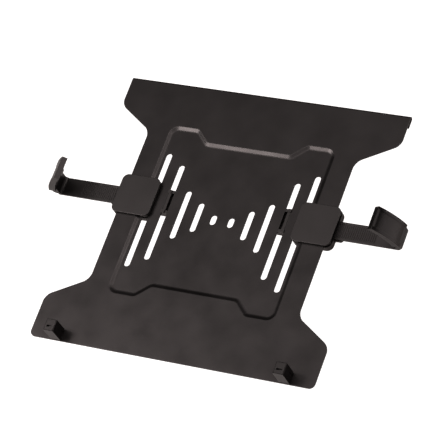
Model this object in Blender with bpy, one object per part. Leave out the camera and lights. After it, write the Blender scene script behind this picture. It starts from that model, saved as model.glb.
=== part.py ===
"""Laptop tray mount: a pressed steel tray with two sliding side clamps.

The origin is the middle of the slot pattern, on the underside of the recessed
panel, which is the face that gets fastened to an arm or a stand.  X points to
the right, Y to the rear (away from the laptop user) and Z up.  Sizes are metres.
"""
import math

import bmesh
import bpy
from mathutils import Matrix, Vector

MM = 0.001

# Sheet metal of the tray
SHEET = 1.5 * MM
RECESS_DEPTH = 1.5 * MM
BEND_RUN = 3.2 * MM            # width of the sloping step between rim and panel
BEND_STEPS = 3

# Slots for the fixing screws, counted outwards from the middle on each side
SLOT_WIDTH = 6.0 * MM
SLOT_LENGTHS = (10 * MM, 30 * MM, 50 * MM, 100 * MM, 120 * MM)
FIRST_SLOT_X = 9.0 * MM
SLOT_PITCH = 17.0 * MM

# Recessed panel: four ears reach further than its middle
PANEL_SIDE_MARGIN = 7.5 * MM   # from the outermost slot's middle to the step
PANEL_EAR_MARGIN = 27.5 * MM   # from the longest slot's end to the step
EAR_DEPTH = 12.6 * MM
EAR_WIDTH = 27.5 * MM
EAR_SLOPE_RUN = 13.5 * MM
EAR_RADIUS = 8.0 * MM
EAR_FOOT_RADIUS = 5.0 * MM

# Tray outline
REAR_Y = 133.5 * MM
FRONT_Y = -144.8 * MM
RIM_WIDTH = 22.3 * MM          # sheet between the step and the waist edge
WING_WIDTH = 38.0 * MM         # how far the wings reach past the waist
WING_SHOULDER_Y = 102.7 * MM
WAIST_SHOULDER_Y = 79.6 * MM
WING_RADIUS = 11.0 * MM
WAIST_RADIUS = 12.0 * MM
FRONT_CORNER_RADIUS = 5.5 * MM
ARC_STEPS = 6
SLOT_STEPS = 8                 # along each round slot end

# Folded rear edge
HEM_GAP = 1.5 * MM
HEM_LENGTH = 11.0 * MM
HEM_STEPS = 6

# Front stops
STOP_WIDTH = 10.2 * MM
STOP_DEPTH = 11.8 * MM
STOP_HEIGHT = 18.6 * MM
STOP_INSET = 23.1 * MM         # from the tray's side edge to the post
STOP_SLIT = 0.8 * MM
STOP_SLIT_HEIGHT = 8.0 * MM
STOP_LEG = 3.4 * MM
STOP_LEG_LIFT = 0.9 * MM
STOP_MARK_LENGTH = 6.0 * MM
STOP_MARK_WIDTH = 1.6 * MM
STOP_MARK_DEPTH = 0.5 * MM
STOP_MARK_PLACE = 0.36         # share of the post's depth from its front
STOP_EDGE = 0.5 * MM

# Clamps
CLAMP_Y = 10.9 * MM
CLAMP_LENGTH = 40.0 * MM       # along the waist edge
CLAMP_RADIUS = 6.0 * MM
CLAMP_OVERHANG = 5.9 * MM      # past the waist edge
CLAMP_INNER_MARGIN = 4.3 * MM  # from the outermost slot's middle to the cover's side
COVER_THICKNESS = 2.5 * MM
COVER_EDGE = 0.7 * MM
FOOT_REACH = 9.0 * MM          # width of the cover's part that fills the recess
RAIL = 2.9 * MM                # channel wall beside the strap, in the housing's tail
RAIL_RADIUS = 2.0 * MM
LID_THICKNESS = 2.4 * MM
TONGUE_REACH = 7.0 * MM        # of the lid, under the strap, past the clamp's outer side
TONGUE_MARGIN = 0.8 * MM       # of the tongue, each side of the strap
TONGUE_RADIUS = 2.5 * MM
KEY_PLAY = 0.3 * MM            # each side of the key in its slot
KEY_HOOK = 0.7 * MM
KEY_HOOK_LENGTH = 3.0 * MM
KEY_HOOK_HEIGHT = 0.8 * MM
TAIL_MARGIN = 3.5 * MM         # housing inboard of the key

# Arm strap
STRAP_WIDTH = 18.0 * MM
STRAP_THICKNESS = 1.8 * MM
STRAP_REACH = 70.5 * MM        # from the waist edge to the strap's outer end
STRAP_TAIL = 3.8 * MM          # from the key slot's middle to the strap's inner end
STRAP_CORNER = 3.0 * MM
RIB_PITCH = 2.5 * MM
RIB_WIDTH = 1.2 * MM
RIB_DEPTH = 0.5 * MM
RIB_SPAN = 14.0 * MM
PLAIN_END = 25.0 * MM          # smooth strap beside the jaw
ARM_TRAVEL_OUT = 20.0 * MM

# Jaw, as a hook whose faces are shallow arcs
JAW_WIDTH = 23.0 * MM
JAW_NECK_TOP = 9.5 * MM        # the wide hook begins here
JAW_HEIGHT = 38.8 * MM
JAW_LEAN = 18.4 * MM           # from the neck's outer side to the tip's outer edge
JAW_TIP = 5.3 * MM
JAW_TIP_TILT = math.radians(28)
JAW_NECK = 7.0 * MM
JAW_OVERHANG = 3.2 * MM        # neck past the strap's end
JAW_ARC_RISE = 2.1 * MM
JAW_ARC_STEPS = 8
JAW_FILLET = 2.6 * MM
JAW_FOOT_EDGE = 0.4 * MM
JAW_HEEL = 5.0 * MM
JAW_EDGE = 0.9 * MM
PAD_WIDTH = 18.0 * MM
PAD_THICKNESS = 1.4 * MM
PAD_PROUD = 0.6 * MM
PAD_START = 0.12               # shares of the gripping arc, from the tip
PAD_END = 0.72

# Detent spring in the housing's roof
LEAF_THICKNESS = 0.45 * MM
LEAF_WIDTH = 8.0 * MM
LEAF_LENGTH = 18.0 * MM
LEAF_NOSE = 5.5 * MM
LEAF_SEAT_DEPTH = 1.0 * MM     # cut into the top of the housing's roof
LEAF_DIP = 0.05 * MM           # nose above the channel's roof, clear of the ribs
LEAF_MARGIN = 2.0 * MM         # from the end of the roof to the leaf

# Screws and pins: shank radius, head radius, head height
CLAMP_SCREW = (1.3 * MM, 2.4 * MM, 1.2 * MM)
STOP_SCREW = (1.5 * MM, 2.75 * MM, 1.6 * MM)
JAW_SCREW = (0.8 * MM, 1.3 * MM, 0.7 * MM)
CLAMP_SCREW_INSET = 5.5 * MM   # from the clamp's front and rear sides
CLAMP_SCREW_BITE = 2.4 * MM    # thread inside the cover
STOP_SCREW_BITE = 9.0 * MM
STOP_SCREW_INSET = 4.2 * MM    # from the front edge
JAW_SCREW_BITE = 5.0 * MM
JAW_SCREW_Y = 5.5 * MM
JAW_SCREW_INSET = 2.1 * MM     # from the strap's outer end
BOSS_RADIUS = 2.2 * MM
BOSS_WALL = 0.9 * MM
PIN_RADIUS = 1.2 * MM
PIN_DROP = 1.0 * MM            # below the strap
PIN_INSET = 3.0 * MM

# Fits
GAP = 0.3 * MM                 # between pieces that touch or slide
OVERCUT = 1.0 * MM             # how far a cutter runs past what it cuts
SEAM = 0.1 * MM                # step between the faces of shapes that are joined
ROUND_STEPS = 16

# Places worked out from the sizes above
PANEL_TOP = SHEET
RIM_UNDERSIDE = RECESS_DEPTH
RIM_TOP = RECESS_DEPTH + SHEET
SLOT_X = [FIRST_SLOT_X + SLOT_PITCH * index for index in range(len(SLOT_LENGTHS))]
CLAMP_SLOT_X = SLOT_X[-1]
KEY_SLOT_X = SLOT_X[-2]
PANEL_HALF = CLAMP_SLOT_X + PANEL_SIDE_MARGIN
PANEL_EAR_Y = SLOT_LENGTHS[-1] / 2 + PANEL_EAR_MARGIN
WAIST_HALF = PANEL_HALF + RIM_WIDTH
TRAY_HALF = WAIST_HALF + WING_WIDTH
HEM_RADIUS = SHEET + HEM_GAP / 2
HEM_Y = REAR_Y - HEM_RADIUS
STOP_X = TRAY_HALF - STOP_INSET - STOP_WIDTH / 2
STOP_SCREW_Y = FRONT_Y + STOP_SCREW_INSET

CLAMP_OUTER = WAIST_HALF + CLAMP_OVERHANG
CLAMP_INNER = CLAMP_SLOT_X - CLAMP_INNER_MARGIN
CLAMP_X = (CLAMP_OUTER + CLAMP_INNER) / 2
CLAMP_HALF = (CLAMP_OUTER - CLAMP_INNER) / 2
CHANNEL_HALF = STRAP_WIDTH / 2 + GAP
TAIL_HALF = CHANNEL_HALF + RAIL
TAIL_END = KEY_SLOT_X - SLOT_WIDTH / 2 - TAIL_MARGIN
STEP_X = PANEL_HALF + BEND_RUN / 2 + SHEET + GAP
COVER_BOTTOM = RIM_TOP + GAP
COVER_TOP = COVER_BOTTOM + COVER_THICKNESS
FOOT_BOTTOM = PANEL_TOP + GAP
CHANNEL_TOP = -GAP
STRAP_TOP = CHANNEL_TOP - GAP
STRAP_BOTTOM = STRAP_TOP - STRAP_THICKNESS
HOUSING_BOTTOM = STRAP_BOTTOM
HOUSING_TOP = RIM_UNDERSIDE - GAP
LID_TOP = HOUSING_BOTTOM - GAP
LID_BOTTOM = LID_TOP - LID_THICKNESS
OUTER_SCREW_X = CLAMP_OUTER - BOSS_RADIUS - COVER_EDGE - SEAM
CLAMP_SCREW_Y = CLAMP_LENGTH / 2 - CLAMP_SCREW_INSET
HEAD_RECESS = CLAMP_SCREW[2] + GAP
KEY_HALF = SLOT_WIDTH / 2 - KEY_PLAY
CLAMP_SCREW_TIP = COVER_BOTTOM + CLAMP_SCREW_BITE - BOSS_WALL
LEAF_SEAT = HOUSING_TOP - LEAF_SEAT_DEPTH
LEAF_START = STEP_X + LEAF_MARGIN - CLAMP_X

STRAP_END = WAIST_HALF + STRAP_REACH
STRAP_START = KEY_SLOT_X + STRAP_TAIL
PIN_X = STRAP_START + PIN_INSET
JAW_FOOT = STRAP_TOP + GAP

# Finishes: colour, roughness, metallic
FINISHES = {
    "black_steel": ((0.030, 0.027, 0.026), 0.45, 0.6),
    "black_plastic": ((0.022, 0.020, 0.020), 0.40, 0.0),
    "soft_rubber": ((0.015, 0.015, 0.015), 0.85, 0.0),
    "dark_zinc": ((0.10, 0.10, 0.10), 0.35, 0.9),
    "spring_steel": ((0.45, 0.45, 0.46), 0.30, 1.0),
}


def clear_scene():
    """Remove every object, so that the model starts from nothing."""
    for old in list(bpy.data.objects):
        bpy.data.objects.remove(old, do_unlink=True)


def finish(name, finish_name):
    """Give a piece its own material."""
    colour, roughness, metallic = FINISHES[finish_name]
    material = bpy.data.materials.new(name)
    material.use_nodes = True
    shader = material.node_tree.nodes["Principled BSDF"]
    shader.inputs["Base Color"].default_value = (*colour, 1.0)
    shader.inputs["Roughness"].default_value = roughness
    shader.inputs["Metallic"].default_value = metallic
    return material


def add_object(name, shape, parent=None, finish_name=None):
    """Turn a bmesh into a named object under its parent."""
    bmesh.ops.recalc_face_normals(shape, faces=shape.faces)
    mesh = bpy.data.meshes.new(name)
    shape.to_mesh(mesh)
    shape.free()
    thing = bpy.data.objects.new(name, mesh)
    bpy.context.scene.collection.objects.link(thing)
    thing.parent = parent
    if finish_name:
        mesh.materials.append(finish(name, finish_name))
    return thing


def add_pivot(name, location, parent=None):
    """An empty on a joint's axis, which carries the pieces that move with it."""
    pivot = bpy.data.objects.new(name, None)
    pivot.location = location
    pivot.parent = parent
    bpy.context.scene.collection.objects.link(pivot)
    return pivot


def shade_round(thing, angle=math.radians(40)):
    """Smooth shading that keeps the sharp edges."""
    thing.data.shade_smooth()
    thing.data.set_sharp_from_angle(angle=angle)


def combine(target, tool, operation):
    """Add or remove the tool's volume with a Boolean modifier."""
    step = target.modifiers.new(tool.name, "BOOLEAN")
    step.operation = operation
    step.solver = "EXACT"
    step.object = tool
    tool.hide_render = True
    tool.display_type = "WIRE"
    tool.parent = target.parent


def join(target, shape, label):
    """Fuse a shape onto a piece."""
    combine(target, add_object(target.name + "_" + label, shape), "UNION")


def cut(target, shape, label):
    """Cut a shape out of a piece."""
    combine(target, add_object(target.name + "_" + label, shape), "DIFFERENCE")


def soften(thing, width, segments=2):
    """Round the sharp edges of a piece a little."""
    bevel = thing.modifiers.new("soft_edges", "BEVEL")
    bevel.width = width
    bevel.segments = segments
    bevel.limit_method = "ANGLE"
    bevel.angle_limit = math.radians(50)


def rounded_outline(corners, steps=ARC_STEPS):
    """Points of a closed outline; each corner is (x, y, radius)."""
    points = []
    for index, (x, y, radius) in enumerate(corners):
        corner = Vector((x, y))
        before = (Vector(corners[index - 1][:2]) - corner).normalized()
        after = (Vector(corners[(index + 1) % len(corners)][:2]) - corner).normalized()
        if radius <= 0:
            points.append(corner)
            continue
        half_angle = before.angle(after) / 2
        start = corner + before * (radius / math.tan(half_angle))
        centre = corner + (before + after).normalized() * (radius / math.sin(half_angle))
        turn = 1 if after.cross(before) > 0 else -1
        sweep = turn * (math.pi - 2 * half_angle)
        for step in range(steps + 1):
            spin = Matrix.Rotation(sweep * step / steps, 2)
            points.append(centre + spin @ (start - centre))
    return points


def inset_corners(corners, distance):
    """Corners of the same outline, moved inwards; the outline runs anticlockwise."""
    moved = []
    for index, (x, y, radius) in enumerate(corners):
        corner = Vector((x, y))
        before = (Vector(corners[index - 1][:2]) - corner).normalized()
        after = (Vector(corners[(index + 1) % len(corners)][:2]) - corner).normalized()
        turn = 1 if after.cross(before) > 0 else -1
        shift = turn * distance / math.sin(before.angle(after) / 2)
        corner += (before + after).normalized() * shift
        moved.append((corner.x, corner.y, max(radius - turn * distance, 0)))
    return moved


def mirror_corners(corners):
    """Complete a right-hand run of corners with its mirror image."""
    return corners + [(-x, y, radius) for x, y, radius in reversed(corners)]


def slot_outline(x, y, width, length, steps=ARC_STEPS):
    """A round-ended slot that runs along Y."""
    radius = width / 2
    reach = length / 2 - radius
    points = []
    for end, start_angle in ((1, 0), (-1, math.pi)):
        for step in range(steps + 1):
            angle = start_angle + math.pi * step / steps
            across = radius * math.cos(angle)
            along = end * reach + radius * math.sin(angle)
            points.append(Vector((x + across, y + along)))
    return points


def arc(start, end, rise, steps, share=(0.0, 1.0), offset=0.0):
    """Points on a shallow arc that bulges to the left of its direction of travel."""
    chord = end - start
    along = chord.normalized()
    left = Vector((-along.y, along.x))
    radius = chord.length ** 2 / (8 * rise) + rise / 2
    centre = start + chord / 2 + left * (rise - radius)
    half = math.asin(chord.length / (2 * radius))
    points = []
    for step in range(steps + 1):
        angle = half * (2 * (share[0] + (share[1] - share[0]) * step / steps) - 1)
        points.append(centre + (radius + offset) * (along * math.sin(angle) + left * math.cos(angle)))
    return points


def prism(points, low, high, axis="Z"):
    """Extrude an (x, y) outline along Z, an (x, z) outline along Y or a (y, z) outline along X."""
    shape = bmesh.new()
    place = {
        "Z": lambda a, b, c: (a, b, c),
        "Y": lambda a, b, c: (a, c, b),
        "X": lambda a, b, c: (c, a, b),
    }[axis]
    rings = [[shape.verts.new(place(a, b, level)) for a, b in points] for level in (low, high)]
    for ring in rings:
        shape.faces.new(ring)
    for index in range(len(points)):
        shape.faces.new((rings[0][index - 1], rings[0][index], rings[1][index], rings[1][index - 1]))
    return shape


def box(x_range, y_range, z_range):
    """A box between its limits; each pair may come in either order."""
    (x0, x1), (y0, y1) = x_range, y_range
    return prism([(x0, y0), (x1, y0), (x1, y1), (x0, y1)], *z_range)


def turned(profile, centre, steps=ROUND_STEPS):
    """A round piece about an upright axis, from a profile of (radius, z) pairs."""
    shape = bmesh.new()
    x, y = centre
    turns = [2 * math.pi * step / steps for step in range(steps)]
    circle = [(math.cos(turn), math.sin(turn)) for turn in turns]
    rings = []
    for radius, z in profile:
        rings.append([shape.verts.new((x + radius * c, y + radius * s, z)) for c, s in circle])
    shape.faces.new(rings[0])
    shape.faces.new(rings[-1])
    for upper, lower in zip(rings, rings[1:]):
        for index in range(steps):
            shape.faces.new((upper[index - 1], lower[index - 1], lower[index], upper[index]))
    return shape


def rod(centre, radius, low, high):
    """A plain upright cylinder."""
    return turned([(radius, low), (radius, high)], centre)


def stepped_bore(centre, sizes, low, shoulder, high):
    """A cutter for a screw that points up: a wide hole to the shoulder, then a narrow one."""
    shank, head = sizes[0] + GAP, sizes[1] + GAP
    return turned([(head, low), (head, shoulder), (shank, shoulder), (shank, high)], centre)


def gather(shapes):
    """Put shapes that don't touch into one."""
    whole = bmesh.new()
    for shape in shapes:
        mesh = bpy.data.meshes.new("shape")
        shape.to_mesh(mesh)
        shape.free()
        whole.from_mesh(mesh)
        bpy.data.meshes.remove(mesh)
    return whole


def screw(name, sizes, centre, head_bottom, tip, parent):
    """A flat-headed screw that points up; sizes are shank radius, head radius, head height."""
    shank, head, height = sizes
    head_top = head_bottom + height
    profile = [(head, head_bottom), (head, head_top), (shank, head_top),
               (shank, tip - shank), (shank / 2, tip)]
    thing = add_object(name, turned(profile, centre), parent, "dark_zinc")
    shade_round(thing)
    return thing


def tray_corners():
    """The tray's outline, anticlockwise from the front right."""
    right = [
        (TRAY_HALF, FRONT_Y, FRONT_CORNER_RADIUS),
        (TRAY_HALF, -WING_SHOULDER_Y, WING_RADIUS),
        (WAIST_HALF, -WAIST_SHOULDER_Y, WAIST_RADIUS),
        (WAIST_HALF, WAIST_SHOULDER_Y, WAIST_RADIUS),
        (TRAY_HALF, WING_SHOULDER_Y, WING_RADIUS),
        (TRAY_HALF, HEM_Y, 0),
    ]
    return mirror_corners(right)


def panel_corners():
    """The middle line of the step round the recess, anticlockwise from the front right ear."""
    ear_foot = PANEL_HALF - EAR_WIDTH
    middle_end = ear_foot - EAR_SLOPE_RUN
    front = [
        (middle_end, EAR_DEPTH - PANEL_EAR_Y, EAR_FOOT_RADIUS),
        (ear_foot, -PANEL_EAR_Y, EAR_FOOT_RADIUS),
        (PANEL_HALF, -PANEL_EAR_Y, EAR_RADIUS),
    ]
    rear = [(x, -y, radius) for x, y, radius in reversed(front)]
    return mirror_corners(front + rear)


def fill_region(shape, outlines):
    """Fill the area between an outer outline and the holes in it."""
    edges = []
    for ring in outlines:
        for index in range(len(ring)):
            edges.append(shape.edges.get((ring[index - 1], ring[index])) or
                         shape.edges.new((ring[index - 1], ring[index])))
    bmesh.ops.triangle_fill(shape, edges=edges, use_beauty=True, use_dissolve=False)


def hem_profile():
    """Where the folded rear edge's outer face runs, as (y, z) from the rim's top round and back."""
    centre_z = RIM_TOP - HEM_RADIUS
    bend = []
    for step in range(1, HEM_STEPS + 1):
        angle = math.pi / 2 - math.pi * step / HEM_STEPS
        bend.append((HEM_Y + HEM_RADIUS * math.cos(angle), centre_z + HEM_RADIUS * math.sin(angle)))
    return bend + [(HEM_Y - HEM_LENGTH + HEM_RADIUS, centre_z - HEM_RADIUS)]


def tray_plate():
    """One sheet: rim, step, slotted panel and folded rear edge, thickened downwards."""
    shape = bmesh.new()

    def ring(points, z):
        return [shape.verts.new((x, y, z)) for x, y in points]

    rim = ring(rounded_outline(tray_corners()), RIM_TOP)
    screw_holes = []
    for side in (-1, 1):
        hole = STOP_SCREW[0] + GAP
        circle = slot_outline(side * STOP_X, STOP_SCREW_Y, 2 * hole, 2 * hole)
        screw_holes.append(ring(circle[:ARC_STEPS + 1] + circle[ARC_STEPS + 2:-1], RIM_TOP))

    steps = []
    for step in range(BEND_STEPS + 1):
        share = step / BEND_STEPS
        points = rounded_outline(inset_corners(panel_corners(), BEND_RUN * (share - 0.5)))
        drop = RECESS_DEPTH * (1 - math.cos(math.pi * share)) / 2
        steps.append(ring(points, RIM_TOP - drop))
    for outer, inner in zip(steps, steps[1:]):
        for index in range(len(outer)):
            shape.faces.new((outer[index - 1], outer[index], inner[index], inner[index - 1]))

    slots = []
    for x, length in zip(SLOT_X, SLOT_LENGTHS):
        for side in (-1, 1):
            slots.append(ring(slot_outline(side * x, 0, SLOT_WIDTH, length, SLOT_STEPS), PANEL_TOP))

    fill_region(shape, [rim, steps[0]] + screw_holes)
    fill_region(shape, [steps[-1]] + slots)

    corners = [vertex for vertex in rim if vertex.co.y == max(other.co.y for other in rim)]
    corners.sort(key=lambda vertex: vertex.co.x)
    for y, z in hem_profile():
        row = ring([(-TRAY_HALF, y), (TRAY_HALF, y)], z)
        shape.faces.new((corners[0], corners[1], row[1], row[0]))
        corners = row

    bmesh.ops.recalc_face_normals(shape, faces=shape.faces)
    shape.faces.ensure_lookup_table()
    panel_face = min(shape.faces, key=lambda face: face.calc_center_median().length)
    if panel_face.normal.z < 0:
        bmesh.ops.reverse_faces(shape, faces=shape.faces)
    mesh = bpy.data.meshes.new("tray_plate")
    shape.to_mesh(mesh)
    shape.free()
    mesh.materials.append(finish("tray_plate", "black_steel"))
    plate = bpy.data.objects.new("tray_plate", mesh)
    bpy.context.scene.collection.objects.link(plate)
    sheet = plate.modifiers.new("sheet", "SOLIDIFY")
    sheet.thickness = SHEET
    sheet.offset = -1
    sheet.use_even_offset = True
    return plate


def front_stop(hand, side, tray):
    """A post flush with the front edge; its slit frees a leg that springs when it snaps in."""
    pivot = add_pivot(hand + "_stop_place", (side * STOP_X, FRONT_Y + GAP, RIM_TOP + GAP), tray)
    rear = STOP_DEPTH
    slit_rear = STOP_DEPTH - STOP_LEG
    slit_front = slit_rear - STOP_SLIT
    profile = [
        (0, 0), (slit_front, 0), (slit_front, STOP_SLIT_HEIGHT), (slit_rear, STOP_SLIT_HEIGHT),
        (slit_rear, STOP_LEG_LIFT), (rear, STOP_LEG_LIFT), (rear, STOP_HEIGHT), (0, STOP_HEIGHT),
    ]
    body = prism(profile, -STOP_WIDTH / 2, STOP_WIDTH / 2, "X")
    post = add_object(hand + "_stop", body, pivot, "black_plastic")
    soften(post, STOP_EDGE)
    mark_y = STOP_DEPTH * STOP_MARK_PLACE
    mark = box((-STOP_MARK_LENGTH / 2, STOP_MARK_LENGTH / 2),
               (mark_y - STOP_MARK_WIDTH / 2, mark_y + STOP_MARK_WIDTH / 2),
               (STOP_HEIGHT - STOP_MARK_DEPTH, STOP_HEIGHT + OVERCUT))
    cut(post, mark, "mark")
    bore_y = STOP_SCREW_Y - FRONT_Y - GAP
    bore = rod((0, bore_y), STOP_SCREW[0] + GAP, -OVERCUT, STOP_SCREW_BITE + GAP)
    cut(post, bore, "bore")
    head_bottom = RIM_UNDERSIDE - GAP - STOP_SCREW[2] - RIM_TOP - GAP
    screw(hand + "_stop_screw", STOP_SCREW, (0, bore_y), head_bottom, STOP_SCREW_BITE, pivot)


def clamp_outline(side, with_tail, with_tongue=False):
    """The clamp seen from above, about its own middle; the tail holds the strap under the panel."""
    half = CLAMP_LENGTH / 2
    corners = [(CLAMP_HALF, -half, CLAMP_RADIUS)]
    if with_tongue:
        across = STRAP_WIDTH / 2 + TONGUE_MARGIN
        reach = CLAMP_HALF + TONGUE_REACH
        corners += [(CLAMP_HALF, -across, TONGUE_RADIUS / 2), (reach, -across, TONGUE_RADIUS),
                    (reach, across, TONGUE_RADIUS), (CLAMP_HALF, across, TONGUE_RADIUS / 2)]
    corners += [(CLAMP_HALF, half, CLAMP_RADIUS), (-CLAMP_HALF, half, CLAMP_RADIUS)]
    if with_tail:
        tail = TAIL_END - CLAMP_X
        corners += [(-CLAMP_HALF, TAIL_HALF, RAIL_RADIUS), (tail, TAIL_HALF, RAIL_RADIUS),
                    (tail, -TAIL_HALF, RAIL_RADIUS), (-CLAMP_HALF, -TAIL_HALF, RAIL_RADIUS)]
    corners.append((-CLAMP_HALF, -half, CLAMP_RADIUS))
    return [(side * x, y) for x, y in rounded_outline(corners)]


def clamp_screw_places(side):
    """Two screws pass through the outermost slot and two pass outside the waist edge."""
    for x in (CLAMP_SLOT_X - CLAMP_X, OUTER_SCREW_X - CLAMP_X):
        for y in (-CLAMP_SCREW_Y, CLAMP_SCREW_Y):
            yield side * x, y


def clamp_cover(hand, side, pivot):
    """A flat cap above the rim, with a foot in the recess and four screw bosses."""
    slab = prism(clamp_outline(side, False), COVER_BOTTOM, COVER_TOP)
    cover = add_object(hand + "_clamp_cover", slab, pivot, "black_plastic")
    soften(cover, COVER_EDGE)
    half = CLAMP_LENGTH / 2 - COVER_EDGE
    foot_inner = COVER_EDGE - CLAMP_HALF
    foot_outer = FOOT_REACH - CLAMP_HALF
    foot_corners = [(foot_outer, -half, 0), (foot_outer, half, 0),
                    (foot_inner, half, CLAMP_RADIUS), (foot_inner, -half, CLAMP_RADIUS)]
    foot_outline = [(side * x, y) for x, y in rounded_outline(foot_corners)]
    inside = COVER_BOTTOM + COVER_THICKNESS / 2
    join(cover, prism(foot_outline, FOOT_BOTTOM, inside), "foot")
    places = list(clamp_screw_places(side))
    in_slot = [rod(place, BOSS_RADIUS, 0, inside - SEAM) for place in places[:2]]
    outside = [rod(place, BOSS_RADIUS, HOUSING_TOP + GAP, inside - SEAM) for place in places[2:]]
    join(cover, gather(in_slot + outside), "bosses")
    bore = CLAMP_SCREW[0] + GAP
    cut(cover, gather([rod(place, bore, -OVERCUT, CLAMP_SCREW_TIP + GAP) for place in places]), "bores")
    return cover


def key_outline():
    """The key from the side, as (y, z): two legs in the rails and a bridge over the strap."""
    outer = TAIL_HALF - SEAM
    inner = CHANNEL_HALF + SEAM
    foot = HOUSING_BOTTOM / 2
    return [(-outer, foot), (-inner, foot), (-inner, 0), (inner, 0), (inner, foot), (outer, foot),
            (outer, PANEL_TOP), (-outer, PANEL_TOP)]


def key_hook_outline():
    """One of the key's hooks from the front, as (x, z): a neck in the slot and a head on the panel."""
    neck = KEY_HALF - SEAM
    head = KEY_HALF + KEY_HOOK
    low = PANEL_TOP + GAP
    high = low + KEY_HOOK_HEIGHT
    return [(-neck, PANEL_TOP / 2), (neck, PANEL_TOP / 2), (neck, low), (head, low),
            (head, high), (-head, high), (-head, low), (-neck, low)]


def clamp_housing(hand, side, pivot):
    """The body under the plate: two rails, a roof above the strap and the key in the slot."""
    body = prism(clamp_outline(side, True), HOUSING_BOTTOM, HOUSING_TOP)
    housing = add_object(hand + "_clamp_housing", body, pivot, "black_plastic")
    far = CLAMP_LENGTH * 2
    step_x = side * (STEP_X - CLAMP_X)
    under_panel = box((step_x, -side * far), (-far, far), (CHANNEL_TOP, HOUSING_TOP + OVERCUT))
    cut(housing, under_panel, "under_panel")
    channel = box((step_x - side * SEAM, side * far), (-CHANNEL_HALF, CHANNEL_HALF),
                  (HOUSING_BOTTOM - OVERCUT, CHANNEL_TOP))
    cut(housing, channel, "channel")
    open_channel = box((step_x, -side * far), (-CHANNEL_HALF, CHANNEL_HALF),
                       (HOUSING_BOTTOM - OVERCUT, HOUSING_TOP + OVERCUT))
    cut(housing, open_channel, "open_channel")
    key_x = side * (KEY_SLOT_X - CLAMP_X)
    join(housing, prism(key_outline(), key_x - KEY_HALF, key_x + KEY_HALF, "X"), "key")
    hook = [(key_x + x, z) for x, z in key_hook_outline()]
    hooks = []
    for end in (-1, 1):
        outer = end * (TAIL_HALF - 2 * SEAM)
        hooks.append(prism(hook, outer - end * KEY_HOOK_LENGTH, outer, "Y"))
    join(housing, gather(hooks), "hooks")
    bore = CLAMP_SCREW[0] + GAP
    low, high = HOUSING_BOTTOM - OVERCUT, HOUSING_TOP + OVERCUT
    cut(housing, gather([rod(place, bore, low, high) for place in clamp_screw_places(side)]), "bores")
    window_y = LEAF_WIDTH / 2 + GAP
    seat = (side * (LEAF_START - GAP), side * (LEAF_START + LEAF_LENGTH + GAP))
    cut(housing, box(seat, (-window_y, window_y), (LEAF_SEAT, HOUSING_TOP + OVERCUT)), "leaf_seat")
    window = (side * (LEAF_START + LEAF_LENGTH - 2 * LEAF_NOSE), seat[1] - side * SEAM)
    nose_y = window_y - SEAM
    cut(housing, box(window, (-nose_y, nose_y), (CHANNEL_TOP - OVERCUT, HOUSING_TOP)), "leaf_window")
    return housing


def clamp_lid(hand, side, pivot):
    """The plate under the strap, with sunk screw heads, a groove for the pin and a tongue."""
    slab = prism(clamp_outline(side, True, with_tongue=True), LID_BOTTOM, LID_TOP)
    lid = add_object(hand + "_clamp_lid", slab, pivot, "black_plastic")
    soften(lid, COVER_EDGE, 1)
    limits = (LID_BOTTOM - OVERCUT, LID_BOTTOM + HEAD_RECESS, LID_TOP + OVERCUT)
    bores = [stepped_bore(place, CLAMP_SCREW, *limits) for place in clamp_screw_places(side)]
    cut(lid, gather(bores), "bores")
    groove_end = PIN_X + PIN_RADIUS + ARM_TRAVEL_OUT + GAP - CLAMP_X
    groove_half = PIN_RADIUS + GAP
    far = CLAMP_LENGTH * 2
    groove = box((side * groove_end, -side * far), (-groove_half, groove_half),
                 (STRAP_BOTTOM - PIN_DROP - GAP, LID_TOP + OVERCUT))
    cut(lid, groove, "groove")
    return lid


def leaf_outline(side):
    """The detent spring from the side: anchor tab, flat part and a nose that dips to the ribs."""
    low = CHANNEL_TOP + LEAF_DIP
    flat = LEAF_SEAT + GAP
    end = LEAF_START + LEAF_LENGTH
    middle = [
        (LEAF_START, flat),
        (end - 2 * LEAF_NOSE, flat),
        (end - LEAF_NOSE, low),
        (end, flat),
    ]
    upper = [(side * x, z + LEAF_THICKNESS) for x, z in reversed(middle)]
    return [(side * x, z) for x, z in middle] + upper


def detent_spring(hand, side, pivot):
    """A steel leaf whose nose clicks over the strap's ribs."""
    shape = prism(leaf_outline(side), -LEAF_WIDTH / 2, LEAF_WIDTH / 2, "Y")
    return add_object(hand + "_detent_spring", shape, pivot, "spring_steel")


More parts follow.
